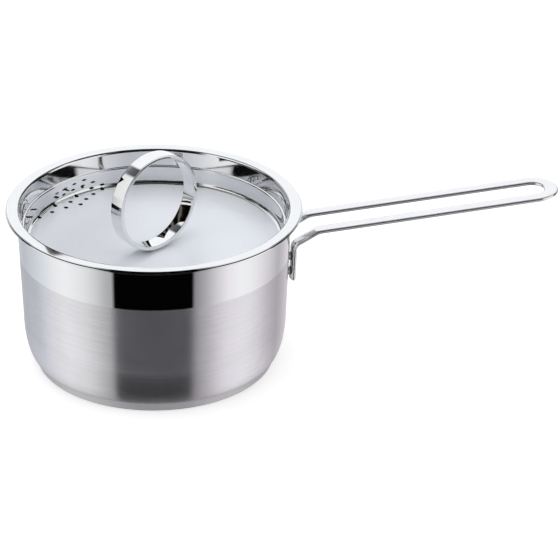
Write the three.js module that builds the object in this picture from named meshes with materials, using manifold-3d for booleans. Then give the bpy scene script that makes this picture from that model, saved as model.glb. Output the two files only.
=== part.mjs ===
// Stainless-steel saucepan with a bent-bar loop handle and a sunken strainer lid with a ring grip.
// Millimetres. The origin is the centre of the base's underside, +Z is up the pan's axis and
// +X points along the handle. The lid rests on the pan's pouring rim.
import * as THREE from 'three';
import Module from 'manifold-3d';

const manifoldKit = await Module();
manifoldKit.setup();

// ---- overall ----
const SEGMENTS = 56;              // facets round every turned piece
const GAP = 0.3;                  // clearance left between pieces that touch on the real object

// ---- encapsulated base ----
const CAP_RADIUS = 71.5;          // stainless capsule under the pan
const CAP_SHEET = 0.6;
const CAP_HEIGHT = 5.3;
const CAP_EDGE_ROUND = 1.2;
const CORE_RADIUS = CAP_RADIUS - CAP_SHEET - GAP;
const CORE_BOTTOM = CAP_SHEET + GAP;
const CORE_TOP = CAP_HEIGHT;

// ---- pan body ----
const PAN_SHEET = 0.8;
const PAN_FLOOR = CAP_HEIGHT + GAP;           // underside of the pan's floor
const FLOOR_CORNER = { r: 73.0, round: 0.9 }; // where the floor turns up into the belly
const BELLY_CENTRE = { r: 71.7, z: 30.6 };    // quarter ellipse between floor and wall
const BELLY_WIDE = 6.9;
const BELLY_TALL = 25.6;
const BELLY_START = 6.9;                      // height at which the belly leaves the corner
const WALL_TOP_RADIUS = 81.1;                 // outside of the wall just under the rim
const RIM_RADIUS = 87.5;
const RIM_UNDERSIDE = 97.1;
const RIM_ROUND = 2.2;
const RIM_TOP = RIM_UNDERSIDE + PAN_SHEET;

// ---- lid ----
const LID_SHEET = 0.7;
const LID_FLANGE_TOP = RIM_TOP + GAP + LID_SHEET;
const LID_FLANGE_RADIUS = 86.9;
const LID_MOUTH_RADIUS = 80.0;                // inside the top of the well, whose upper band leans out
const LID_BAND_RADIUS = 77.6;                 // inside the foot of that band
const LID_STEP_RADIUS = 76.4;                 // radius of the rounded step below it
const LID_STEP_DEPTH = 10.3;                  // below the flange's top
const LID_FLOOR_RADIUS = 76.6;
const LID_FLOOR_DEPTH = 21.3;                 // at the floor's edge
const LID_FLOOR_ROUND = 3.0;
const LID_FLANGE_ROUND = 2.4;                 // where the upper wall turns out into the flange
const LID_DISH = 6.5;                         // how far the floor's centre hangs below its edge
const LID_FLOOR_EDGE = LID_FLANGE_TOP - LID_FLOOR_DEPTH;
const LID_FLOOR_CENTRE = LID_FLOOR_EDGE - LID_DISH;

// ---- strainer holes: a triangle of staggered rows that points at the lid's centre ----
const STRAINER_HEADING = 122.6;               // of the first hole, degrees round from the handle
const STRAINER_SLANT = 1.0;                   // each next row's middle is this much further round
const STRAINER_ROWS = 4;                      // one hole in the first row, one more in each next
const STRAINER_FIRST_RADIUS = 64.8;
const STRAINER_ROW_PITCH = 3.2;
const STRAINER_HOLE_PITCH = 14.2;             // degrees between holes of a row
const STRAINER_HOLE_RADIUS = 1.35;
// Flat slots carry the strainer on up the lower wall of the well. Each slot of a row is further
// round and a little lower than the one before.
const SLOT_HEIGHT = 1.3;
const WALL_SLOT_WIDTH = 3.2;
const WALL_SLOTS_PER_ROW = [4, 4, 2];
const WALL_SLOT_HEADING = 112.9;              // the first slot of the top row, in degrees
const WALL_SLOT_PITCH = 5.5;
const WALL_SLOT_DEPTH = 13.1;                 // below the flange's top
const WALL_SLOT_FALL = 0.65;                  // from one slot to the next
const WALL_ROW_SHIFT = 4.6;                   // each next row starts this much nearer the handle
const WALL_ROW_DROP = 3.0;

// ---- ring grip on the lid ----
const RING_RADIUS = 29.6;                     // outside
const RING_STRAP = 2.4;                       // thickness of the strap
const RING_WIDTH = 9.4;
const RING_EDGE = 0.4;                        // chamfer along the strap's edges
const RING_HEADING = 120;                     // degrees: the way the ring's axis lies
const RING_STANDOFF = 1.0;                    // weld height under the ring
const RING_CENTRE_Z = LID_FLOOR_CENTRE + RING_STANDOFF + RING_RADIUS;
const RING_WELD = { long: 13, wide: 8 };

// ---- loop handle: one flattened bar, both ends welded to the wall ----
const BAR_WIDE = 8.6;
const BAR_THICK = 3.6;
const BAR_SIDES = 16;
const RUN_OFFSET = 11.75;                     // each run's distance from the handle's centre plane
const LEG_BOTTOM = 48;
const LEG_STANDOFF = 1.4;                     // between the wall and the leg
const FIRST_BEND = { z: 70.5, round: 5 };
const SECOND_BEND = { x: 97.2, z: 78.2, round: 11 };
const GRIP_RISE = 0.056;                      // climb of the grip per unit of length
const LOOP_CENTRE_X = 234.4;                  // centre of the handle's round end

// ---- weld pads between legs and wall ----
const WELD_RADIUS = 2.9;
const WELD_HEIGHTS = { lower: 53, upper: 63 };

const DEG = Math.PI / 180;
const steel = (colour, roughness) => new THREE.MeshStandardMaterial(
  { color: colour, roughness, metalness: 1 });
const POLISHED = 0xd9dbde;
const SATIN = 0xc6c8cc;
const MIRROR_ROUGHNESS = 0.12;
const SATIN_ROUGHNESS = 0.34;

const v2 = (x, y) => new THREE.Vector2(x, y);

/** The outside radius of the pan's straight wall at a height. */
function wallRadius(z) {
  const start = BELLY_CENTRE.r + BELLY_WIDE;
  const share = (z - BELLY_CENTRE.z) / (RIM_UNDERSIDE - BELLY_CENTRE.z);
  return start + (WALL_TOP_RADIUS - start) * share;
}

/** Rounds the corners of an open run of points [x, y, radius]; returns Vector2 points. */
function rounded(corners, steps = 3) {
  const out = [];
  corners.forEach(([x, y, radius = 0], i) => {
    const here = v2(x, y);
    if (!radius || i === 0 || i === corners.length - 1) { out.push(here); return; }
    const back = v2(...corners[i - 1].slice(0, 2)).sub(here).normalize();
    const ahead = v2(...corners[i + 1].slice(0, 2)).sub(here).normalize();
    const half = Math.acos(THREE.MathUtils.clamp(back.dot(ahead), -1, 1)) / 2;
    const centre = back.clone().add(ahead).normalize()
      .multiplyScalar(radius / Math.sin(half)).add(here);
    const reach = radius / Math.tan(half);
    const from = here.clone().addScaledVector(back, reach).sub(centre);
    const to = here.clone().addScaledVector(ahead, reach).sub(centre);
    const a = from.angle();
    const turn = Math.atan2(from.cross(to), from.dot(to));
    for (let k = 0; k <= steps; k++) {
      const angle = a + turn * k / steps;
      out.push(v2(Math.cos(angle), Math.sin(angle)).multiplyScalar(radius).add(centre));
    }
  });
  return out;
}

/** Moves an open run of points sideways, to its left when distance is positive. */
function offset(points, distance) {
  return points.map((p, i) => {
    const a = points[Math.max(i - 1, 0)];
    const b = points[Math.min(i + 1, points.length - 1)];
    const before = p.clone().sub(i ? a : p);
    const after = b.clone().sub(p);
    const dirs = [before, after].filter((d) => d.length() > 1e-9).map((d) => d.normalize());
    const normals = dirs.map((d) => v2(-d.y, d.x));
    const mean = normals.reduce((s, n) => s.add(n), v2(0, 0)).normalize();
    const stretch = 1 / Math.max(mean.dot(v2(-dirs[0].y, dirs[0].x)), 0.5);
    return p.clone().addScaledVector(mean, distance * stretch);
  });
}

/** Turns a closed outline of (radius, height) points about the Z axis. */
function turned(outline) {
  const loop = THREE.ShapeUtils.area(outline) < 0 ? outline.slice().reverse() : outline.slice();
  const first = loop.findIndex((p, i) => p.x < 1e-6
    && loop[(i + loop.length - 1) % loop.length].x < 1e-6);
  const ordered = first < 0 ? [...loop, loop[0].clone()]
    : [...loop.slice(first), ...loop.slice(0, first)];
  const solid = new THREE.LatheGeometry(ordered, SEGMENTS);
  solid.rotateX(Math.PI / 2);
  return solid;
}

/** A turned sheet of even thickness from one of its faces, which starts on the axis. */
function turnedSheet(face, thickness) {
  const other = offset(face, thickness);
  other[0].x = 0;
  return turned([...face, ...other.reverse()]);
}

/** three.js geometry to a Manifold solid, with equal vertices joined. */
function toManifold(geometry) {
  const position = geometry.attributes.position;
  const index = geometry.index ? Array.from(geometry.index.array)
    : Array.from({ length: position.count }, (_, i) => i);
  const seen = new Map();
  const points = [];
  const vertex = index.map((i) => {
    const p = [position.getX(i), position.getY(i), position.getZ(i)];
    const key = p.map((c) => Math.round(c * 1e5)).join();
    if (!seen.has(key)) { seen.set(key, points.length / 3); points.push(...p); }
    return seen.get(key);
  });
  const triangles = [];
  for (let i = 0; i < vertex.length; i += 3) {
    const [a, b, c] = vertex.slice(i, i + 3);
    if (a !== b && b !== c && c !== a) triangles.push(a, b, c);
  }
  return new manifoldKit.Manifold(new manifoldKit.Mesh({
    numProp: 3, vertProperties: Float32Array.from(points), triVerts: Uint32Array.from(triangles),
  }));
}

function fromManifold(solid) {
  const { vertProperties, triVerts, numProp } = solid.getMesh();
  const geometry = new THREE.BufferGeometry();
  const points = [];
  for (let i = 0; i < vertProperties.length; i += numProp) {
    points.push(vertProperties[i], vertProperties[i + 1], vertProperties[i + 2]);
  }
  geometry.setAttribute('position', new THREE.Float32BufferAttribute(points, 3));
  geometry.setIndex(Array.from(triVerts));
  return geometry;
}

function subtract(body, ...tools) {
  return fromManifold(tools.reduce((rest, tool) => rest.subtract(toManifold(tool)),
    toManifold(body)));
}

/** A bar swept through stations {at, wide, flat}: its centre, width direction and flat normal. */
function sweptBar(stations, halfWide, halfThick, sides) {
  const points = [];
  const index = [];
  for (const { at, wide, flat } of stations) {
    for (let k = 0; k < sides; k++) {
      const angle = 2 * Math.PI * k / sides;
      points.push(at.clone().addScaledVector(wide, halfWide * Math.cos(angle))
        .addScaledVector(flat, halfThick * Math.sin(angle)));
    }
  }
  const ring = (s, k) => s * sides + (k % sides);
  for (let s = 0; s + 1 < stations.length; s++) {
    for (let k = 0; k < sides; k++) {
      index.push(ring(s, k), ring(s, k + 1), ring(s + 1, k + 1));
      index.push(ring(s, k), ring(s + 1, k + 1), ring(s + 1, k));
    }
  }
  const last = stations.length - 1;
  const start = points.push(stations[0].at.clone()) - 1;
  const end = points.push(stations[last].at.clone()) - 1;
  for (let k = 0; k < sides; k++) {
    index.push(start, ring(0, k + 1), ring(0, k));
    index.push(end, ring(last, k), ring(last, k + 1));
  }
  const bar = new THREE.BufferGeometry().setFromPoints(points);
  bar.setIndex(index);
  return bar;
}

// ---- pan and base ----
function panBody() {
  const belly = [];
  const startAngle = Math.asin((BELLY_CENTRE.z - BELLY_START) / BELLY_TALL);
  const BELLY_STEPS = 7;
  for (let k = 0; k <= BELLY_STEPS; k++) {
    const angle = startAngle * (1 - k / BELLY_STEPS);
    belly.push([BELLY_CENTRE.r + BELLY_WIDE * Math.cos(angle),
      BELLY_CENTRE.z - BELLY_TALL * Math.sin(angle)]);
  }
  return turnedSheet(rounded([
    [0, PAN_FLOOR], [FLOOR_CORNER.r, PAN_FLOOR, FLOOR_CORNER.round], ...belly,
    [WALL_TOP_RADIUS, RIM_UNDERSIDE, RIM_ROUND], [RIM_RADIUS, RIM_UNDERSIDE],
  ]), PAN_SHEET);
}

function baseCap() {
  return turnedSheet(rounded([
    [0, 0], [CAP_RADIUS, 0, CAP_EDGE_ROUND], [CAP_RADIUS, CAP_HEIGHT],
  ]), CAP_SHEET);
}

function baseCore() {
  const edge = CAP_EDGE_ROUND;
  return turned([v2(0, CORE_BOTTOM), v2(CORE_RADIUS - edge, CORE_BOTTOM),
    v2(CORE_RADIUS, CORE_BOTTOM + edge), v2(CORE_RADIUS, CORE_TOP), v2(0, CORE_TOP)]);
}

// ---- handle ----
function handleLoop() {
  const legX = (z) => Math.sqrt(wallRadius(z) ** 2 - RUN_OFFSET ** 2)
    + LEG_STANDOFF + BAR_THICK / 2;
  const gripEndZ = SECOND_BEND.z + GRIP_RISE * (LOOP_CENTRE_X - SECOND_BEND.x);
  const side = rounded([
    [legX(LEG_BOTTOM), LEG_BOTTOM], [legX(FIRST_BEND.z), FIRST_BEND.z, FIRST_BEND.round],
    [SECOND_BEND.x, SECOND_BEND.z, SECOND_BEND.round], [LOOP_CENTRE_X, gripEndZ],
  ], 5);
  const flats = offset(side, 1).map((p, i) => p.sub(side[i]).normalize());
  const run = (sign) => side.map((p, i) => ({
    at: new THREE.Vector3(p.x, sign * RUN_OFFSET, p.y),
    wide: new THREE.Vector3(0, -sign, 0),
    flat: new THREE.Vector3(flats[i].x, 0, flats[i].y),
  }));
  const near = run(-1);
  const far = run(1).reverse();
  const along = new THREE.Vector3(1, 0, GRIP_RISE).normalize();
  const flat = new THREE.Vector3(-GRIP_RISE, 0, 1).normalize();
  const centre = new THREE.Vector3(LOOP_CENTRE_X, 0, gripEndZ);
  const END_STEPS = 14;
  const end = [];
  for (let k = 1; k < END_STEPS; k++) {
    const angle = Math.PI * k / END_STEPS;
    const out = along.clone().multiplyScalar(Math.sin(angle))
      .add(new THREE.Vector3(0, -Math.cos(angle), 0));
    end.push({ at: centre.clone().addScaledVector(out, RUN_OFFSET), wide: out.negate(), flat });
  }
  return sweptBar([...near, ...end, ...far], BAR_WIDE / 2, BAR_THICK / 2, BAR_SIDES);
}

/** A short round pad that fills the space between one leg and the wall. */
function handleWeld(sign, z) {
  const legFace = Math.sqrt(wallRadius(z) ** 2 - RUN_OFFSET ** 2) + LEG_STANDOFF;
  const length = 4;
  const pad = new THREE.CylinderGeometry(WELD_RADIUS, WELD_RADIUS, length, 20);
  pad.rotateZ(Math.PI / 2);
  pad.translate(legFace - GAP - length / 2, sign * RUN_OFFSET, z);
  const reach = WELD_RADIUS * 2;
  const wall = new THREE.CylinderGeometry(wallRadius(z + reach) + GAP,
    wallRadius(z - reach) + GAP, 2 * reach, SEGMENTS * 4);
  wall.rotateX(Math.PI / 2);
  wall.translate(0, 0, z);
  return subtract(pad, wall);
}

// ---- lid ----
function lidDish() {
  const floor = [];
  const FLOOR_STEPS = 7;
  for (let k = 0; k < FLOOR_STEPS; k++) {
    const share = k / FLOOR_STEPS;
    floor.push([LID_FLOOR_RADIUS * share,
      LID_FLOOR_EDGE - LID_DISH * (1 + Math.cos(Math.PI * share)) / 2]);
  }
  const stepZ = LID_FLANGE_TOP - LID_STEP_DEPTH;
  const STEP_SLOPE = 0.3;
  const dish = turnedSheet(rounded([
    ...floor, [LID_FLOOR_RADIUS, LID_FLOOR_EDGE, LID_FLOOR_ROUND],
    [LID_STEP_RADIUS, stepZ, 0.9], [LID_BAND_RADIUS, stepZ + STEP_SLOPE, 0.6],
    [LID_MOUTH_RADIUS, LID_FLANGE_TOP, LID_FLANGE_ROUND], [LID_FLANGE_RADIUS, LID_FLANGE_TOP],
  ]), -LID_SHEET);
  const holes = [];
  for (let row = 0; row < STRAINER_ROWS; row++) {
    const radius = STRAINER_FIRST_RADIUS + row * STRAINER_ROW_PITCH;
    for (let k = 0; k <= row; k++) {
      const heading = STRAINER_HEADING + row * STRAINER_SLANT;
      const angle = (heading + (k - row / 2) * STRAINER_HOLE_PITCH) * DEG;
      const drill = new THREE.CylinderGeometry(STRAINER_HOLE_RADIUS, STRAINER_HOLE_RADIUS, 5, 14);
      drill.rotateX(Math.PI / 2);
      drill.translate(radius * Math.cos(angle), radius * Math.sin(angle), LID_FLOOR_EDGE);
      holes.push(drill);
    }
  }
  WALL_SLOTS_PER_ROW.forEach((count, row) => {
    for (let k = 0; k < count; k++) {
      holes.push(wallSlot(WALL_SLOT_WIDTH, LID_FLOOR_RADIUS,
        WALL_SLOT_HEADING - row * WALL_ROW_SHIFT + k * WALL_SLOT_PITCH,
        WALL_SLOT_DEPTH + row * WALL_ROW_DROP + k * WALL_SLOT_FALL));
    }
  });
  return subtract(dish, ...holes);
}

/** The cutter for one flat slot through the wall of the well, at a heading and a depth. */
function wallSlot(width, radius, heading, depth) {
  return new THREE.CylinderGeometry(1, 1, 5, 12).rotateZ(Math.PI / 2)
    .scale(1, width / 2, SLOT_HEIGHT / 2)
    .translate(radius + LID_SHEET / 2, 0, LID_FLANGE_TOP - depth)
    .rotateZ(heading * DEG);
}

/** Stands a solid that was turned about Z up on the lid, with its axis along RING_HEADING. */
function onRingAxis(geometry) {
  return geometry.rotateY(Math.PI / 2).rotateZ(RING_HEADING * DEG)
    .translate(0, 0, RING_CENTRE_Z);
}

function lidRing() {
  const half = RING_WIDTH / 2;
  const inner = RING_RADIUS - RING_STRAP;
  return onRingAxis(turned([
    v2(RING_RADIUS, -half + RING_EDGE), v2(RING_RADIUS, half - RING_EDGE),
    v2(RING_RADIUS - RING_EDGE, half), v2(inner + RING_EDGE, half),
    v2(inner, half - RING_EDGE), v2(inner, -half + RING_EDGE),
    v2(inner + RING_EDGE, -half), v2(RING_RADIUS - RING_EDGE, -half),
  ]));
}

function lidRingWeld() {
  const bottom = LID_FLOOR_CENTRE + GAP;
  const height = 3;
  const bead = new THREE.BoxGeometry(RING_WELD.wide, RING_WELD.long, height);
  bead.rotateZ(RING_HEADING * DEG).translate(0, 0, bottom + height / 2);
  const ring = new THREE.CylinderGeometry(RING_RADIUS + GAP, RING_RADIUS + GAP,
    RING_WELD.wide * 3, SEGMENTS * 4);
  ring.rotateX(Math.PI / 2);
  return subtract(bead, onRingAxis(ring));
}

// ---- assembly ----
const saucepan = new THREE.Group();
function add(name, geometry, material) {
  const mesh = new THREE.Mesh(geometry, material);
  mesh.name = name;
  saucepan.add(mesh);
}

add('pan_body', panBody(), steel(POLISHED, SATIN_ROUGHNESS));
add('base_core_disc', baseCore(), steel(0xb9bbbf, 0.5));
add('base_cap', baseCap(), steel(SATIN, SATIN_ROUGHNESS));
add('handle_loop', handleLoop(), steel(POLISHED, MIRROR_ROUGHNESS));
for (const [side, sign] of [['left', 1], ['right', -1]]) {
  for (const [level, z] of Object.entries(WELD_HEIGHTS)) {
    add(`handle_weld_${side}_${level}`, handleWeld(sign, z), steel(SATIN, 0.4));
  }
}
add('lid_dish', lidDish(), steel(POLISHED, SATIN_ROUGHNESS));
add('lid_ring', lidRing(), steel(POLISHED, MIRROR_ROUGHNESS));
add('lid_ring_weld', lidRingWeld(), steel(SATIN, 0.4));

export default saucepan;
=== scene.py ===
"""Polished and satin steel saucepan with a bent-bar loop handle and a sunken strainer lid.

Smooth turned and swept pieces stand for the faceted CAD nodes and ride on the same bodies.
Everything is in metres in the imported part's frame: +Z up the pan's axis, +X along the handle.
"""
import math

import bpy
from mathutils import Matrix, Vector


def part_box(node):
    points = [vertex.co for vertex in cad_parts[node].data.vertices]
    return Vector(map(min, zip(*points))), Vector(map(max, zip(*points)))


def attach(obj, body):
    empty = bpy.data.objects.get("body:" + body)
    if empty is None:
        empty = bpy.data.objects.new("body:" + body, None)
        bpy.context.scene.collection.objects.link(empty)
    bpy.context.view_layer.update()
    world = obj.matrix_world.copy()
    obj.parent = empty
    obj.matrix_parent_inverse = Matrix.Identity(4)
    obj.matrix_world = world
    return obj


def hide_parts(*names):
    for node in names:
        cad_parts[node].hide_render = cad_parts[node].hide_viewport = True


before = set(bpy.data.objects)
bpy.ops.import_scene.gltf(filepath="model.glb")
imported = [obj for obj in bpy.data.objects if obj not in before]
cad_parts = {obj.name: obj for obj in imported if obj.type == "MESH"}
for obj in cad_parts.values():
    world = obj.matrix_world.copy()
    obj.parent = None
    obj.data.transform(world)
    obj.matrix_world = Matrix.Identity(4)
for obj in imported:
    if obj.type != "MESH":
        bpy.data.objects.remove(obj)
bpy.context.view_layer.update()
MM = 0.001
SHARP_EDGE = math.radians(38)      # a steeper corner than this shows as an edge

# ---- sizes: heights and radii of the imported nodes, then the details between them ----
pan_lo, pan_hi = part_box("pan_body")
cap_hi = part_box("base_cap")[1]
lid_lo, lid_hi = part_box("lid_dish")
ring_lo, ring_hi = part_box("lid_ring")
bar_lo, bar_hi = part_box("handle_loop")

RIM_RADIUS = pan_hi.x
RIM_TOP = pan_hi.z
PAN_FLOOR = pan_lo.z
PAN_SHEET = 0.8 * MM
RIM_UNDERSIDE = RIM_TOP - PAN_SHEET
WALL_TOP_RADIUS = 81.1 * MM
BELLY = {"r": 71.7 * MM, "z": 30.6 * MM, "wide": 6.9 * MM, "tall": 25.6 * MM, "start": 6.9 * MM}
POLISH_LINE = 70.8 * MM            # the polished band of the wall starts here
WALL_POINTS = (45 * MM, POLISH_LINE, 82 * MM)
RIM_ROUND = 2.2 * MM
RIM_POLISH = 3 * MM                # the rim's finish starts this far under it
PAN_FLOOR_EDGE = 73 * MM
PAN_FLOOR_ROUND = 0.9 * MM
FLAT_MIDDLE = 30 * MM              # a point on each flat, so its faces stay even

CAP_RADIUS = cap_hi.x
CAP_HEIGHT = cap_hi.z
CAP_SHEET = 0.6 * MM
CAP_ROUND = 1.2 * MM

LID_TOP = lid_hi.z
LID_SHEET = 0.7 * MM
LID_FLANGE_RADIUS = lid_hi.x
LID_MOUTH_RADIUS = 80.0 * MM
LID_BAND_RADIUS = 77.6 * MM
LID_STEP_RADIUS = 76.4 * MM
LID_STEP_Z = LID_TOP - 10.3 * MM
LID_FLOOR_RADIUS = 76.6 * MM
LID_FLOOR_EDGE = LID_TOP - 21.3 * MM
LID_FLOOR_ROUND = 3.0 * MM
LID_FLANGE_ROUND = 2.4 * MM
LID_STEP_ROUND = 0.9 * MM
LID_STEP_SLOPE = 0.3 * MM
LID_BAND_ROUND = 0.6 * MM
LID_FLOOR_CENTRE = lid_lo.z + LID_SHEET

RING_HEADING = math.radians(120)
RING_RADIUS = (ring_hi.z - ring_lo.z) / 2
RING_CENTRE_Z = (ring_hi.z + ring_lo.z) / 2
RING_STRAP = 2.4 * MM
RING_WIDTH = 9.4 * MM
RING_EASE = 0.35 * MM
BEAD_LONG = 13 * MM
BEAD_WIDE = 8 * MM

BAR_WIDE = 8.6 * MM
BAR_THICK = 3.6 * MM
RUN_OFFSET = bar_hi.y - BAR_WIDE / 2
LEG_BOTTOM = bar_lo.z
LEG_STANDOFF = 1.4 * MM
GRIP_RISE = 0.056
LOOP_CENTRE_X = 234.4 * MM
LEG_TOP = 70.5 * MM
LEG_ROUND = 5 * MM
GRIP_BEND = Vector((97.2, 78.2)) * MM
GRIP_ROUND = 11 * MM

# ---- camera, first, because the studio's cards are set round it ----
CAMERA_DISTANCE = 1.6
CAMERA_HEADING = math.radians(11)      # how far the handle points away behind the picture plane
CAMERA_RISE = math.radians(25.618)
AIM_DOWN, AIM_SIDE, ROLL = (math.radians(a) for a in (1.575, 2.969, 0.849))
FOCAL = 2711.8 / 560                   # of the picture's width


def make_camera():
    target = Vector((0, 0, LID_TOP))
    back = Vector((0, -math.cos(CAMERA_RISE), math.sin(CAMERA_RISE)))
    down = CAMERA_RISE + AIM_DOWN
    ahead = Vector((math.cos(down) * math.sin(AIM_SIDE), math.cos(down) * math.cos(AIM_SIDE),
                    -math.sin(down)))
    right = Vector((math.cos(AIM_SIDE), -math.sin(AIM_SIDE), 0))
    up = right.cross(ahead)
    rolled_right = right * math.cos(ROLL) + up * math.sin(ROLL)
    rolled_up = up * math.cos(ROLL) - right * math.sin(ROLL)
    turn = Matrix((rolled_right, rolled_up, -ahead)).transposed().to_4x4()
    spin = Matrix.Rotation(-CAMERA_HEADING, 4, "Z")
    data = bpy.data.cameras.new("camera")
    data.sensor_width = 36
    data.lens = FOCAL * data.sensor_width
    data.clip_start, data.clip_end = 0.05, 100
    cam = bpy.data.objects.new("camera", data)
    cam.matrix_world = spin @ Matrix.Translation(target + back * CAMERA_DISTANCE) @ turn
    bpy.context.scene.collection.objects.link(cam)
    bpy.context.scene.camera = cam


make_camera()


# ---- node helpers ----
def node(tree, kind, inputs=(), **settings):
    """Adds a node, sets its properties, then its inputs: {socket: value or another socket}."""
    made = tree.nodes.new(kind)
    for key, value in settings.items():
        setattr(made, key, value)
    for key, value in dict(inputs).items():
        if isinstance(value, bpy.types.NodeSocket):
            tree.links.new(value, made.inputs[key])
        else:
            made.inputs[key].default_value = value
    return made


def maths(tree, operation, a, b=0.0, c=0.0, clamp=False):
    return node(tree, "ShaderNodeMath", {0: a, 1: b, 2: c}, operation=operation,
                use_clamp=clamp).outputs[0]


def ramp(tree, factor, stops, interpolation="LINEAR"):
    made = node(tree, "ShaderNodeValToRGB", {0: factor})
    band = made.color_ramp
    band.interpolation = interpolation
    band.elements[0].position, band.elements[0].color = stops[0][0], (*stops[0][1], 1)
    band.elements[1].position, band.elements[1].color = stops[-1][0], (*stops[-1][1], 1)
    for place, colour in stops[1:-1]:
        band.elements.new(place).color = (*colour, 1)
    return made.outputs[0]


def steel(name, colour, roughness, brushing, grain=0.0, aniso=0.0, spread=0.25, metal=1.0,
          streak=0.06):
    """A steel with its brushing lines. brushing is round (about Z), rings (on a floor), along
    (the handle's length) or fine (random hairlines). spread is how much roughness varies, streak
    how much darker the lines are, and metal below 1 leaves some light scattered evenly."""
    mat = bpy.data.materials.new(name)
    mat.use_nodes = True
    tree = mat.node_tree
    tree.nodes.clear()
    place = node(tree, "ShaderNodeTexCoord").outputs["Object"]
    axes = node(tree, "ShaderNodeSeparateXYZ", {0: place})
    x, y, z = axes.outputs
    if brushing == "round":
        where = node(tree, "ShaderNodeMapping", {"Vector": place, "Scale": (14, 14, 2600)})
        lines = where.outputs[0]
    elif brushing == "rings":
        radius = maths(tree, "SQRT", maths(tree, "ADD", maths(tree, "MULTIPLY", x, x),
                                           maths(tree, "MULTIPLY", y, y)))
        lines = node(tree, "ShaderNodeCombineXYZ", {
            0: maths(tree, "MULTIPLY", radius, 2400.0), 1: maths(tree, "MULTIPLY", x, 10.0),
            2: maths(tree, "MULTIPLY", y, 10.0)}).outputs[0]
    elif brushing == "along":
        lines = node(tree, "ShaderNodeMapping", {"Vector": place,
                                                 "Scale": (30, 2600, 2600)}).outputs[0]
    else:
        lines = node(tree, "ShaderNodeMapping", {"Vector": place,
                                                 "Scale": (900, 240, 500)}).outputs[0]
    fine = node(tree, "ShaderNodeTexNoise", {"Vector": lines, "Scale": 1.0, "Detail": 3.0,
                                             "Roughness": 0.7}).outputs[0]
    broad = node(tree, "ShaderNodeTexNoise", {"Vector": place, "Scale": 38.0, "Detail": 4.0,
                                              "Roughness": 0.55}).outputs[0]
    mixed = maths(tree, "ADD", maths(tree, "MULTIPLY", fine, 0.6),
                  maths(tree, "MULTIPLY", broad, 0.4))
    rough = maths(tree, "MULTIPLY", roughness, maths(
        tree, "ADD", 1.0 - spread / 2, maths(tree, "MULTIPLY", mixed, spread)))
    dark = tuple(c * (1 - streak) for c in colour)
    tone = ramp(tree, mixed, [(0.30, dark), (0.62, colour)])
    shader = node(tree, "ShaderNodeBsdfPrincipled", {
        "Base Color": tone, "Roughness": rough, "Metallic": metal})
    if aniso:
        shader.inputs["Anisotropic"].default_value = aniso
        shader.inputs["Anisotropic Rotation"].default_value = 0.25
        tangent = node(tree, "ShaderNodeTangent", direction_type="RADIAL", axis="Z")
        tree.links.new(tangent.outputs[0], shader.inputs["Tangent"])
    if grain:
        bump = node(tree, "ShaderNodeBump", {"Height": fine, "Strength": grain,
                                             "Distance": 0.02 * MM})
        tree.links.new(bump.outputs[0], shader.inputs["Normal"])
    out = node(tree, "ShaderNodeOutputMaterial")
    tree.links.new(shader.outputs[0], out.inputs[0])
    return mat


MIRROR = steel("steel_mirror", (0.83, 0.835, 0.85), 0.045, "round", spread=0.5)
TURNED = steel("steel_turned_satin", (0.78, 0.77, 0.80), 0.24, "round", grain=0.35, aniso=0.75,
               spread=0.5, metal=0.977, streak=0.16)
INSIDE = steel("steel_inside_satin", (0.76, 0.76, 0.77), 0.30, "round", grain=0.3, aniso=0.6,
               spread=0.5)
FLOOR = steel("steel_floor_satin", (0.83, 0.86, 0.91), 0.42, "rings", grain=0.15, spread=0.4,
              metal=0.30, streak=0.05)
RIM = steel("steel_rim_polished", (0.84, 0.845, 0.855), 0.10, "rings", spread=0.5)
CAP = steel("steel_cap_brushed", (0.52, 0.51, 0.53), 0.40, "round", grain=0.4, aniso=0.5,
            spread=0.5, metal=0.45, streak=0.12)
UNDER = steel("steel_base_turned", (0.70, 0.70, 0.71), 0.30, "rings", grain=0.6, spread=0.6)
BAR = steel("steel_bar_polished", (0.84, 0.84, 0.85), 0.16, "along", grain=0.1, spread=0.6,
            metal=0.90)
STRAP = steel("steel_strap_mirror", (0.86, 0.86, 0.87), 0.035, "fine", spread=0.6)
WELD = steel("steel_weld", (0.60, 0.58, 0.56), 0.42, "fine", grain=0.8, spread=0.6)
CORE = steel("aluminium_core", (0.74, 0.75, 0.76), 0.45, "rings", grain=0.4, spread=0.4)


# ---- mesh helpers ----
def rounded(corners, steps=9):
    """Rounds the corners of an open run of (r, z, radius) points."""
    out = []
    for i, corner in enumerate(corners):
        here = Vector(corner[:2])
        radius = corner[2] if len(corner) > 2 else 0
        if not radius or i in (0, len(corners) - 1):
            out.append(here)
            continue
        back = (Vector(corners[i - 1][:2]) - here).normalized()
        ahead = (Vector(corners[i + 1][:2]) - here).normalized()
        half = math.acos(max(-1, min(1, back.dot(ahead)))) / 2
        centre = here + (back + ahead).normalized() * (radius / math.sin(half))
        reach = radius / math.tan(half)
        a, b = here + back * reach - centre, here + ahead * reach - centre
        start = math.atan2(a.y, a.x)
        turn = math.atan2(a.x * b.y - a.y * b.x, a.dot(b))
        for k in range(steps + 1):
            angle = start + turn * k / steps
            out.append(centre + radius * Vector((math.cos(angle), math.sin(angle))))
    return out


def offset(points, distance):
    """Moves an open run sideways, to its left when distance is positive."""
    out = []
    for i, p in enumerate(points):
        ways = [(b - a).normalized() for a, b in ((points[max(i - 1, 0)], p),
                (p, points[min(i + 1, len(points) - 1)])) if (b - a).length > 1e-9]
        normals = [Vector((-w.y, w.x)) for w in ways]
        mean = sum(normals, Vector((0, 0))).normalized()
        out.append(p + mean * distance / max(mean.dot(normals[0]), 0.5))
    return out


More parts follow.
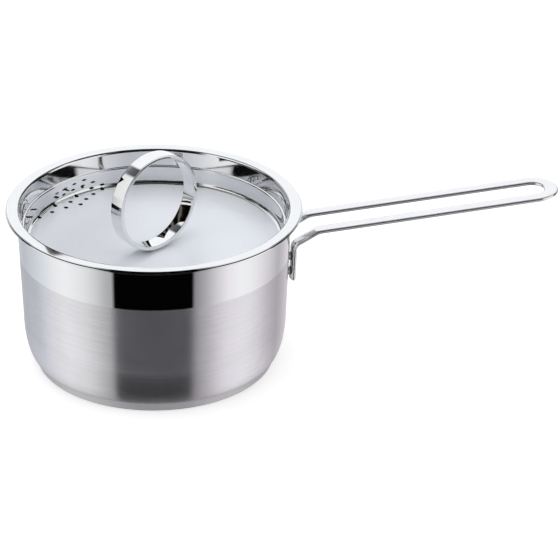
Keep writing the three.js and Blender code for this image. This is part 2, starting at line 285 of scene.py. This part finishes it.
def mesh_object(name, points, faces, materials, indices=None):
    mesh = bpy.data.meshes.new(name)
    mesh.from_pydata([tuple(p) for p in points], [], faces)
    for material in materials:
        mesh.materials.append(material)
    if indices:
        mesh.polygons.foreach_set("material_index", indices)
    mesh.shade_smooth()
    mesh.set_sharp_from_angle(angle=SHARP_EDGE)
    mesh.validate()
    mesh.update()
    made = bpy.data.objects.new(name, mesh)
    bpy.context.scene.collection.objects.link(made)
    return made


def turned(name, outline, materials, choose=None, segments=224):
    """Turns a closed outline of (r, z) about Z. choose(r, z, nr, nz) gives a face's material."""
    area = sum(a.x * b.y - b.x * a.y for a, b in zip(outline, outline[1:] + outline[:1]))
    loop = list(outline) if area > 0 else list(reversed(outline))
    points, rings = [], []
    for p in loop:
        if p.x < 1e-7:
            rings.append([len(points)] * segments)
            points.append((0, 0, p.y))
            continue
        rings.append(list(range(len(points), len(points) + segments)))
        for k in range(segments):
            angle = 2 * math.pi * k / segments
            points.append((p.x * math.cos(angle), p.x * math.sin(angle), p.y))
    faces, indices = [], []
    for i, p in enumerate(loop):
        j = (i + 1) % len(loop)
        q = loop[j]
        if p.x < 1e-7 and q.x < 1e-7:
            continue
        way = (q - p).normalized()
        chosen = choose((p.x + q.x) / 2, (p.y + q.y) / 2, way.y, -way.x) if choose else 0
        for k in range(segments):
            n = (k + 1) % segments
            face = [rings[i][k], rings[i][n], rings[j][n], rings[j][k]]
            faces.append(list(dict.fromkeys(face)))
            indices.append(chosen)
    return mesh_object(name, points, faces, materials, indices)


def sheet_outline(face, thickness, edge=0.25):
    """A sheet's closed outline from one face that starts on the axis, with its free edge eased."""
    other = offset(face, thickness)
    other[0].x = 0
    run = (face[-1] - face[-2]).normalized()
    cut = edge * abs(thickness)
    first, last = face[:-1] + [face[-1] - run * cut], other[:-1] + [other[-1] - run * cut]
    across = (other[-1] - face[-1]).normalized()
    nose = [face[-1] + across * cut, other[-1] - across * cut]
    return first + nose + last[::-1]


def swept(name, stations, half_wide, half_thick, material, sides=40):
    """A flattened round bar through stations (at, wide, flat, scale)."""
    points, faces = [], []
    for at, wide, flat, scale in stations:
        for k in range(sides):
            angle = 2 * math.pi * k / sides
            points.append(at + wide * half_wide * scale * math.cos(angle)
                          + flat * (half_thick - half_wide * (1 - scale)) * math.sin(angle))
    for s in range(len(stations) - 1):
        for k in range(sides):
            n = (k + 1) % sides
            faces.append((s * sides + k, s * sides + n, (s + 1) * sides + n, (s + 1) * sides + k))
    last = (len(stations) - 1) * sides
    faces.append(tuple(reversed(range(sides))))
    faces.append(tuple(range(last, last + sides)))
    return mesh_object(name, points, faces, [material])


def cut(piece, tool):
    """Cuts a tool mesh out of a piece and removes the tool."""
    modifier = piece.modifiers.new("cut", "BOOLEAN")
    modifier.operation, modifier.solver, modifier.object = "DIFFERENCE", "EXACT", tool
    result = bpy.data.meshes.new_from_object(
        piece.evaluated_get(bpy.context.evaluated_depsgraph_get()))
    piece.modifiers.clear()
    piece.data = result
    bpy.data.objects.remove(tool)


def stands_for(piece, body, slot, *nodes):
    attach(piece, body)
    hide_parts(*nodes)


# ---- pan ----
def wall_radius(z):
    start = BELLY["r"] + BELLY["wide"]
    share = (z - BELLY["z"]) / (RIM_UNDERSIDE - BELLY["z"])
    return start + (WALL_TOP_RADIUS - start) * share


def pan_shell():
    start = math.asin((BELLY["z"] - BELLY["start"]) / BELLY["tall"])
    steps = 30
    belly = [(BELLY["r"] + BELLY["wide"] * math.cos(start * (1 - k / steps)),
              BELLY["z"] - BELLY["tall"] * math.sin(start * (1 - k / steps)))
             for k in range(steps + 1)]
    wall = [(wall_radius(z), z) for z in WALL_POINTS]
    face = rounded([(0, PAN_FLOOR), (FLAT_MIDDLE, PAN_FLOOR),
                    (PAN_FLOOR_EDGE, PAN_FLOOR, PAN_FLOOR_ROUND), *belly, *wall,
                    (WALL_TOP_RADIUS, RIM_UNDERSIDE, RIM_ROUND), (RIM_RADIUS, RIM_UNDERSIDE)])

    def choose(r, z, nr, nz):
        if r > WALL_TOP_RADIUS or z > RIM_UNDERSIDE - RIM_POLISH:
            return 2
        if nr < 0 or nz > 0.5:
            return 1
        return 0 if z < POLISH_LINE else 3

    return turned("pan_shell", sheet_outline(face, PAN_SHEET), [TURNED, INSIDE, RIM, MIRROR],
                  choose)


def base_capsule():
    face = rounded([(0, 0), (FLAT_MIDDLE, 0), (CAP_RADIUS, 0, CAP_ROUND),
                    (CAP_RADIUS, CAP_HEIGHT)])
    return turned("base_capsule", sheet_outline(face, CAP_SHEET), [CAP, UNDER],
                  lambda r, z, nr, nz: 1 if nz < -0.7 else 0)


# ---- handle ----
def handle_bar():
    """One flattened bar: up a leg, out along the grip, round its end and back the same way."""
    def leg_x(z):
        return (math.sqrt(wall_radius(z) ** 2 - RUN_OFFSET ** 2)
                + LEG_STANDOFF + BAR_THICK / 2)

    end_z = GRIP_BEND.y + GRIP_RISE * (LOOP_CENTRE_X - GRIP_BEND.x)
    side = rounded([(leg_x(LEG_BOTTOM), LEG_BOTTOM), (leg_x(LEG_BOTTOM + 0.4 * MM), LEG_BOTTOM
                    + 0.4 * MM), (leg_x(LEG_TOP), LEG_TOP, LEG_ROUND), (*GRIP_BEND, GRIP_ROUND),
                    (LOOP_CENTRE_X, end_z)], 20)
    flats = [(q - p).normalized() for p, q in zip(side, offset(side, 1 * MM))]

    def run(sign):
        return [(Vector((p.x, sign * RUN_OFFSET, p.y)), Vector((0, -sign, 0)),
                 Vector((f.x, 0, f.y)), 0.93 if i == 0 else 1.0)
                for i, (p, f) in enumerate(zip(side, flats))]

    along = Vector((1, 0, GRIP_RISE)).normalized()
    flat = Vector((-GRIP_RISE, 0, 1)).normalized()
    centre = Vector((LOOP_CENTRE_X, 0, end_z))
    end, steps = [], 48
    for k in range(1, steps):
        angle = math.pi * k / steps
        out = along * math.sin(angle) - Vector((0, math.cos(angle), 0))
        end.append((centre + out * RUN_OFFSET, -out, flat, 1.0))
    return swept("handle_bar", run(-1) + end + run(1)[::-1], BAR_WIDE / 2, BAR_THICK / 2, BAR)


def weld_pad(name, node_name):
    """A squeezed-out weld between a leg and the wall, a little wider at both faces."""
    lo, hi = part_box(node_name)
    middle = (lo + hi) / 2
    radius = (hi.z - lo.z) / 2
    outward = Vector((middle.x, middle.y, 0)).normalized()
    side = Vector((-outward.y, outward.x, 0))
    inner = Vector((outward.x, outward.y, 0)) * (wall_radius(middle.z) - 0.1 * MM)
    inner.z = middle.z
    reach = (hi.x + 0.25 * MM - inner.x) / outward.x
    points, faces, sides = [], [], 36
    profile = [(0, 1.0), (0.12, 0.93), (0.35, 0.86), (0.65, 0.84), (0.88, 0.88), (1, 0.95)]
    for share, wide in profile:
        for k in range(sides):
            angle = 2 * math.pi * k / sides
            points.append(inner + outward * reach * share
                          + side * radius * wide * math.cos(angle)
                          + Vector((0, 0, radius * wide * math.sin(angle))))
    for s in range(len(profile) - 1):
        for k in range(sides):
            n = (k + 1) % sides
            faces.append((s * sides + k, s * sides + n, (s + 1) * sides + n, (s + 1) * sides + k))
    last = (len(profile) - 1) * sides
    faces += [tuple(reversed(range(sides))), tuple(range(last, last + sides))]
    return mesh_object(name, points, faces, [WELD])


# ---- lid ----
SLOT_HEIGHT = 1.3 * MM
WALL_SLOTS = {"rows": (4, 4, 2), "width": 3.2 * MM, "heading": 112.9, "pitch": 5.5,
              "depth": 13.1 * MM, "fall": 0.65 * MM, "shift": 4.6, "drop": 3.0 * MM}
STRAINER = {"heading": 122.6, "slant": 1.0, "rows": 4, "first": 64.8 * MM, "row": 3.2 * MM,
            "pitch": 14.2, "radius": 1.35 * MM}


def strainer_drills():
    """One mesh of drills: upright ones in the floor and flat slots through the wall."""
    points, faces, sides = [], [], 26

    def drill(centre, axis, across, up):
        first = len(points)
        for level in (-3 * MM, 3 * MM):
            for n in range(sides):
                angle = 2 * math.pi * (n + 0.37) / sides
                points.append(centre + axis * level + across * math.cos(angle)
                              + up * math.sin(angle))
        for n in range(sides):
            m = (n + 1) % sides
            faces.append((first + n, first + m, first + sides + m, first + sides + n))
        faces.append(tuple(first + n for n in reversed(range(sides))))
        faces.append(tuple(first + sides + n for n in range(sides)))

    def slot(width, radius, heading, depth):
        angle = math.radians(heading)
        out = Vector((math.cos(angle), math.sin(angle), 0))
        drill(out * (radius + LID_SHEET / 2) + Vector((0, 0, LID_TOP - depth)), out,
              Vector((-out.y, out.x, 0)) * (width / 2), Vector((0, 0, SLOT_HEIGHT / 2)))

    for row in range(STRAINER["rows"]):
        distance = STRAINER["first"] + row * STRAINER["row"]
        for k in range(row + 1):
            heading = STRAINER["heading"] + row * STRAINER["slant"]
            angle = math.radians(heading + (k - row / 2) * STRAINER["pitch"])
            drill(Vector((distance * math.cos(angle), distance * math.sin(angle),
                          LID_FLOOR_EDGE)), Vector((0, 0, 1)),
                  Vector((STRAINER["radius"], 0, 0)), Vector((0, STRAINER["radius"], 0)))
    for row, count in enumerate(WALL_SLOTS["rows"]):
        for k in range(count):
            slot(WALL_SLOTS["width"], LID_FLOOR_RADIUS,
                 WALL_SLOTS["heading"] - row * WALL_SLOTS["shift"] + k * WALL_SLOTS["pitch"],
                 WALL_SLOTS["depth"] + row * WALL_SLOTS["drop"] + k * WALL_SLOTS["fall"])
    return mesh_object("strainer_drills", points, faces, [MIRROR])


def lid_shell():
    dish = LID_FLOOR_EDGE - LID_FLOOR_CENTRE
    steps = 40
    floor = [(LID_FLOOR_RADIUS * k / steps,
              LID_FLOOR_EDGE - dish * (1 + math.cos(math.pi * k / steps)) / 2)
             for k in range(steps)
             if LID_FLOOR_RADIUS * (1 - k / steps) > LID_FLOOR_ROUND + 0.6 * MM]
    face = rounded([*floor, (LID_FLOOR_RADIUS, LID_FLOOR_EDGE, LID_FLOOR_ROUND),
                    (LID_STEP_RADIUS, LID_STEP_Z, LID_STEP_ROUND),
                    (LID_BAND_RADIUS, LID_STEP_Z + LID_STEP_SLOPE, LID_BAND_ROUND),
                    (LID_MOUTH_RADIUS, LID_TOP, LID_FLANGE_ROUND), (LID_FLANGE_RADIUS, LID_TOP)])

    def choose(r, z, nr, nz):
        if z < LID_FLOOR_EDGE + 0.05 * MM and r < LID_FLOOR_RADIUS - 2.6 * MM and nz > 0:
            return 1
        return 2 if r > LID_BAND_RADIUS and nz > 0.5 else 0

    lid = turned("lid_shell", sheet_outline(face, -LID_SHEET), [MIRROR, FLOOR, RIM], choose)
    cut(lid, strainer_drills())
    lid.data.shade_smooth()
    lid.data.set_sharp_from_angle(angle=SHARP_EDGE)
    return lid


def on_ring_axis(piece):
    piece.data.transform(Matrix.Translation((0, 0, RING_CENTRE_Z))
                         @ Matrix.Rotation(RING_HEADING, 4, "Z")
                         @ Matrix.Rotation(math.pi / 2, 4, "Y"))
    return piece


def ring_strap():
    half, inner = RING_WIDTH / 2, RING_RADIUS - RING_STRAP
    outline = rounded([(inner, 0), (inner, -half, RING_EASE),
                       (RING_RADIUS, -half, RING_EASE), (RING_RADIUS, half, RING_EASE),
                       (inner, half, RING_EASE), (inner, 1e-6)], 5)
    return on_ring_axis(turned("ring_strap", outline, [STRAP], segments=288))


def ring_bead():
    """The weld under the ring: a low bead that follows the ring's underside."""
    cols, rows = 28, 12
    points, faces = [], []
    side = Vector((math.cos(RING_HEADING), math.sin(RING_HEADING), 0))
    run = Vector((-side.y, side.x, 0))
    floor_z = LID_FLOOR_CENTRE - 0.15 * MM
    for top in (0, 1):
        for i in range(cols + 1):
            u = (i / cols - 0.5) * BEAD_LONG
            for j in range(rows + 1):
                v = (j / rows - 0.5) * BEAD_WIDE
                edge = max(0.0, 1 - (abs(v) / (BEAD_WIDE / 2)) ** 6) * max(
                    0.0, 1 - (abs(u) / (BEAD_LONG / 2)) ** 8)
                under = RING_CENTRE_Z - math.sqrt(RING_RADIUS ** 2 - u * u) - floor_z
                z = floor_z + (under * (0.25 + 0.75 * edge) if top else 0)
                points.append(run * u + side * v + Vector((0, 0, z)))
    width = rows + 1
    count = (cols + 1) * width
    for i in range(cols):
        for j in range(rows):
            a = i * width + j
            faces.append((a, a + 1, a + width + 1, a + width))
            faces.append((count + a, count + a + width, count + a + width + 1, count + a + 1))
    rim = ([i * width for i in range(cols + 1)]
           + [cols * width + j for j in range(1, rows + 1)]
           + [i * width + rows for i in range(cols - 1, -1, -1)]
           + [j for j in range(rows - 1, 0, -1)])
    for a, b in zip(rim, rim[1:] + rim[:1]):
        faces.append((a, b, b + count, a + count))
    return mesh_object("ring_bead", points, faces, [WELD])


stands_for(pan_shell(), "pan", "pan_steel", "pan_body")
stands_for(base_capsule(), "pan", "base_steel", "base_cap")
stands_for(handle_bar(), "pan", "handle_steel", "handle_loop")
for label in ("left_lower", "left_upper", "right_lower", "right_upper"):
    stands_for(weld_pad("weld_" + label, "handle_weld_" + label), "pan", "weld_steel",
               "handle_weld_" + label)
stands_for(lid_shell(), "lid", "lid_steel", "lid_dish")
stands_for(ring_strap(), "lid", "ring_steel", "lid_ring")
stands_for(ring_bead(), "lid", "weld_steel", "lid_ring_weld")
for material_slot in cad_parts["base_core_disc"].material_slots:
    material_slot.material = CORE


# ---- studio ----
def studio():
    """White surroundings, with the dark flags that polished steel shows.

    A direction is named by the heading and tilt of the surface that mirrors it to the camera's
    side, so upright flags keep straight edges in a wall, a belly or a ring.
    """
    world = bpy.data.worlds.new("studio")
    bpy.context.scene.world = world
    world.use_nodes = True
    tree = world.node_tree
    tree.nodes.clear()
    way = node(tree, "ShaderNodeTexCoord").outputs["Generated"]
    level = node(tree, "ShaderNodeVectorRotate", {
        "Vector": way, "Axis": (0, 0, 1), "Angle": CAMERA_HEADING},
        rotation_type="AXIS_ANGLE").outputs[0]
    half = node(tree, "ShaderNodeVectorMath", {
        0: level, 1: (0, math.cos(CAMERA_RISE), -math.sin(CAMERA_RISE))}, operation="SUBTRACT")
    facing = node(tree, "ShaderNodeVectorMath", {0: half.outputs[0]}, operation="NORMALIZE")
    x, y, tilt = node(tree, "ShaderNodeSeparateXYZ", {0: facing.outputs[0]}).outputs
    heading = maths(tree, "ARCTAN2", x, maths(tree, "MULTIPLY", y, -1.0))
    turn = maths(tree, "MULTIPLY_ADD", heading, 1 / (2 * math.pi), 0.5)

    def panorama(stops):
        return ramp(tree, turn, [(degrees / 360 + 0.5, tuple(value * c for c in hue))
                                 for degrees, value, hue in stops])

    def blend(low_tilt, high_tilt, below, above):
        """Goes from below to above as the tilt in degrees rises between two limits."""
        low, high = math.sin(math.radians(low_tilt)), math.sin(math.radians(high_tilt))
        share = maths(tree, "MULTIPLY_ADD", tilt, 1 / (high - low), -low / (high - low), True)
        return node(tree, "ShaderNodeMix", {"Factor": share, 6: below, 7: above},
                    data_type="RGBA").outputs[2]

    plain, blue, pink = (1, 1, 1), (0.95, 0.98, 1.05), (1.03, 0.985, 1.03)
    wall = panorama([
        (-180, 0.80, plain), (-140, 0.55, plain), (-118, 0.30, plain), (-100, 0.75, blue),
        (-84, 0.66, blue), (-72, 0.60, blue), (-61, 0.74, blue), (-53, 0.88, blue),
        (-47, 0.98, plain), (-40, 1.05, plain), (-31, 0.92, plain), (-26, 0.76, plain),
        (-21, 0.54, plain), (-18.2, 0.46, plain), (-17.9, 0.001, plain), (16.2, 0.001, plain),
        (16.5, 0.28, pink), (22, 0.50, pink), (27, 0.75, pink), (32, 0.96, pink),
        (38, 1.06, plain), (44, 1.02, plain), (50, 0.88, pink), (57, 0.70, pink),
        (64, 0.52, pink), (76, 0.76, pink), (100, 0.85, plain), (118, 0.35, plain),
        (142, 0.60, plain), (180, 0.80, plain)])
    level_flags = panorama([
        (-180, 0.95, plain), (-90, 0.42, plain), (-64, 0.30, plain), (-63, 0.004, plain),
        (-55.5, 0.004, plain), (-55, 0.62, blue), (-42, 1.0, plain), (-30, 0.95, plain),
        (-12, 0.62, blue), (12, 0.60, blue), (32, 0.95, plain), (42, 0.80, pink),
        (50.5, 0.62, pink), (51, 0.004, plain), (64, 0.004, plain), (65, 0.25, plain),
        (90, 0.42, plain), (180, 0.95, plain)])
    card = panorama([
        (-180, 0.95, plain), (-64, 0.40, plain), (-63, 0.004, plain), (-55.5, 0.004, plain),
        (-55, 0.90, plain), (-38, 1.0, plain), (-24, 0.90, plain), (-20, 0.004, plain),
        (19, 0.004, plain), (24, 0.90, plain), (38, 1.0, plain), (50.5, 0.90, plain),
        (51, 0.004, plain), (64, 0.004, plain), (65, 0.40, plain), (180, 0.95, plain)])
    high_flags = panorama([
        (-180, 1.0, plain), (-75, 1.0, plain), (-52, 0.16, blue), (-36, 0.05, plain),
        (36, 0.05, plain), (60, 1.0, plain), (180, 1.0, plain)])
    under = (0.36, 0.35, 0.36, 1)
    above = (1.08, 1.10, 1.12, 1)
    lower = blend(-52, -14, under, wall)
    middle = blend(1, 5, lower, level_flags)
    flagged = blend(19, 22, middle, card)
    upper = blend(48, 51, flagged, high_flags)
    glossy = blend(60, 63, upper, above)
    seen = node(tree, "ShaderNodeLightPath").outputs["Is Glossy Ray"]
    colour = node(tree, "ShaderNodeMix", {"Factor": seen, 6: (1, 1, 1, 1), 7: glossy},
                  data_type="RGBA").outputs[2]
    light = node(tree, "ShaderNodeBackground", {"Color": colour, "Strength": 1.0})
    out = node(tree, "ShaderNodeOutputWorld")
    tree.links.new(light.outputs[0], out.inputs[0])


def studio_floor():
    mat = bpy.data.materials.new("pale_floor")
    mat.use_nodes = True
    tree = mat.node_tree
    tree.nodes.clear()
    place = node(tree, "ShaderNodeTexCoord").outputs["Object"]
    tooth = node(tree, "ShaderNodeTexNoise", {"Vector": place, "Scale": 60.0}).outputs[0]
    tone = ramp(tree, tooth, [(0.0, (0.80, 0.80, 0.80)), (1.0, (0.83, 0.83, 0.83))])
    shader = node(tree, "ShaderNodeBsdfPrincipled", {
        "Base Color": tone, "Roughness": 0.9, "Emission Color": (1, 1, 1, 1),
        "Emission Strength": 0.42})
    shader.inputs["Specular IOR Level"].default_value = 0.0
    out = node(tree, "ShaderNodeOutputMaterial")
    tree.links.new(shader.outputs[0], out.inputs[0])
    half, cells = 6.0, 12
    points = [(-half + 2 * half * i / cells, -half + 2 * half * j / cells, 0)
              for i in range(cells + 1) for j in range(cells + 1)]
    faces = [(i * (cells + 1) + j, (i + 1) * (cells + 1) + j, (i + 1) * (cells + 1) + j + 1,
              i * (cells + 1) + j + 1) for i in range(cells) for j in range(cells)]
    floor = mesh_object("studio_floor", points, faces, [mat])
    floor.visible_glossy = False


def ring_flag():
    """A small black flag behind the ring's far side, seen only in polished steel."""
    mat = bpy.data.materials.new("flag_cloth")
    mat.use_nodes = True
    tree = mat.node_tree
    tree.nodes.clear()
    place = node(tree, "ShaderNodeTexCoord").outputs["Object"]
    # Painted light: the flag only emits and is never lit, so the lighter fold streaks are painted
    # sheen; only reflections in the steel show it.
    painted_fold_glow = node(tree, "ShaderNodeTexWave", {"Vector": place, "Scale": 26.0, "Distortion": 4.0})
    tone = ramp(tree, painted_fold_glow.outputs[0], [(0.0, (0.0, 0.0, 0.0)), (0.62, (0.008, 0.007, 0.006)),
                                         (1.0, (0.16, 0.14, 0.12))])
    glow = node(tree, "ShaderNodeEmission", {"Color": tone})
    out = node(tree, "ShaderNodeOutputMaterial")
    tree.links.new(glow.outputs[0], out.inputs[0])
    spin = Matrix.Rotation(-CAMERA_HEADING, 3, "Z")
    edge = [(-0.062, 0.000), (-0.064, 0.030), (-0.050, 0.060), (-0.015, 0.078)]
    points = [spin @ Vector((x, y, z)) for x, y in edge for z in (0.102, 0.150)]
    faces = [(2 * k, 2 * k + 1, 2 * k + 3, 2 * k + 2) for k in range(len(edge) - 1)]
    flag = mesh_object("studio_flag", points, faces, [mat])
    for sight in ("camera", "diffuse", "transmission", "shadow"):
        setattr(flag, "visible_" + sight, False)


def soft_light():
    data = bpy.data.lights.new("overhead_softbox", "AREA")
    data.shape, data.size, data.size_y = "RECTANGLE", 1.6, 1.2
    data.energy = 3.0
    lamp = bpy.data.objects.new("overhead_softbox", data)
    lamp.location = (-0.3, 0.2, 1.5)
    lamp.rotation_euler = (Vector((0, 0, 0)) - lamp.location).to_track_quat("-Z", "Y").to_euler()
    lamp.visible_glossy = False
    bpy.context.scene.collection.objects.link(lamp)


studio()
studio_floor()
ring_flag()
soft_light()
bpy.context.scene.view_settings.view_transform = "Standard"
